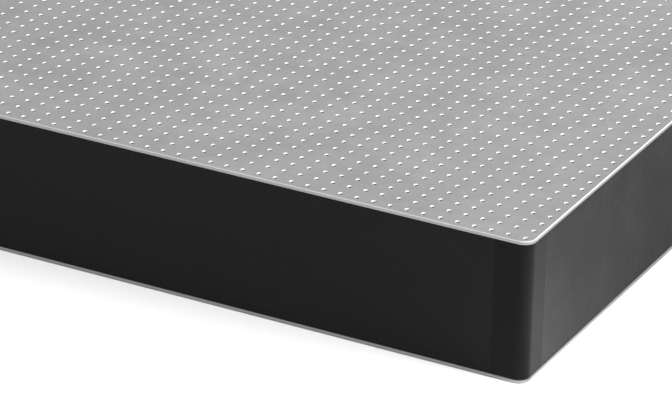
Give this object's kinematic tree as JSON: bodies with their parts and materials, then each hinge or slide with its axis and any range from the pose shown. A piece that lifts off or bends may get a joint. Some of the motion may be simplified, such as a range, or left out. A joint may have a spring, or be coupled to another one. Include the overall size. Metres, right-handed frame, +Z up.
{
  "type": "optical table top",
  "caption": "Rigid flat honeycomb work surface with a square grid of countersunk tapped holes, black side panels and rounded moulded corner trims.",
  "frame": {"origin": "centre of the underside", "axes": "+X along the length, +Y across the width, +Z up out of the working surface"},
  "size_m": [1.2, 0.9, 0.21],
  "materials": {
    "top_skin": "matte brushed",
    "bottom_skin": "matte",
    "core": "plain",
    "side_panel": "satin powder coat",
    "corner_trim": "satin moulded"
  },
  "bodies": {
    "root": {"top_skin_front": "top_skin", "top_skin_back": "top_skin", "bottom_skin": "bottom_skin", "core": "core", "panel_front": "side_panel", "panel_back": "side_panel", "panel_left": "side_panel", "panel_right": "side_panel", "trim_front_left": "corner_trim", "trim_front_right": "corner_trim", "trim_back_left": "corner_trim", "trim_back_right": "corner_trim"}
  },
  "joints": []
}
